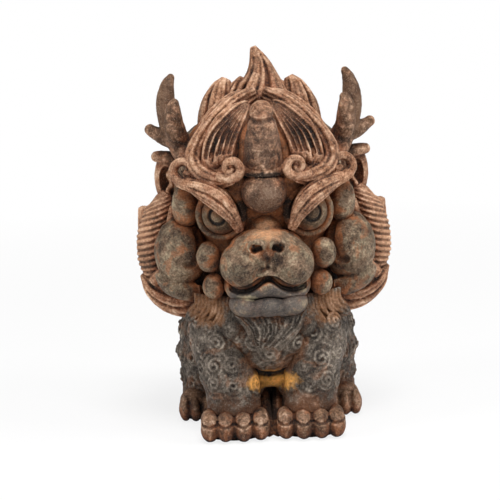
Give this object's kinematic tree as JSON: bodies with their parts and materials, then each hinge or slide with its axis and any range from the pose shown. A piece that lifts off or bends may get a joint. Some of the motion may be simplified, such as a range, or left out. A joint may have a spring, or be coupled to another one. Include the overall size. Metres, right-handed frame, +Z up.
{
  "type": "guardian beast figurine",
  "caption": "Small seated guardian beast in rusted cast iron, with a blunt horn, antlers, a flame crest, a curled mane and full cheeks.",
  "frame": {"origin": "on the ground, under the middle of the figure's box", "axes": "+Z up, the beast faces -Y, +X is its own left"},
  "size_m": [0.0542, 0.055, 0.0791],
  "materials": {
    "iron_dark": "dark rusted casting",
    "iron_foot": "dark casting with orange rust spots",
    "iron_red": "red-brown rust",
    "iron_face": "grey casting with rust in its hollows"
  },
  "bodies": {
    "root": {"antler_left": "iron_red", "antler_right": "iron_red", "back_lock": "iron_dark", "back_lock_inner_left": "iron_dark", "back_lock_inner_right": "iron_dark", "back_lock_outer_left": "iron_dark", "back_lock_outer_right": "iron_dark", "beard": "iron_dark", "brow_left": "iron_red", "brow_right": "iron_red", "cheek_ball_left": "iron_face", "cheek_ball_right": "iron_face", "chin": "iron_face", "crest": "iron_red", "crest_flame_left": "iron_red", "crest_flame_right": "iron_red", "crown_lock_left": "iron_red", "crown_lock_right": "iron_red", "ear_left": "iron_red", "ear_right": "iron_red", "eye_left": "iron_face", "eye_right": "iron_face", "eyelid_left": "iron_face", "eyelid_right": "iron_face", "forehead_boss": "iron_red", "foreleg_left": "iron_dark", "foreleg_right": "iron_dark", "forelock_curl_left": "iron_red", "forelock_curl_right": "iron_red", "forelock_left": "iron_red", "forelock_right": "iron_red", "forepaw_left": "iron_foot", "forepaw_right": "iron_foot", "haunch_left": "iron_dark", "haunch_right": "iron_dark", "hind_paw_left": "iron_foot", "hind_paw_right": "iron_foot", "horn": "iron_red", "horn_collar": "iron_red", "jowl_left": "iron_face", "jowl_right": "iron_face", "lip_ball_left": "iron_face", "lip_ball_right": "iron_face", "lower_lip": "iron_face", "mane_flap_left": "iron_red", "mane_flap_right": "iron_red", "mane_lock_left": "iron_red", "mane_lock_right": "iron_red", "muzzle": "iron_face", "nose": "iron_face", "side_mane_left": "iron_red", "side_mane_right": "iron_red", "skull": "iron_face", "tail": "iron_dark", "temple_left": "iron_face", "temple_right": "iron_face", "throat_lock_left": "iron_dark", "throat_lock_right": "iron_dark", "torso": "iron_dark"}
  },
  "joints": []
}
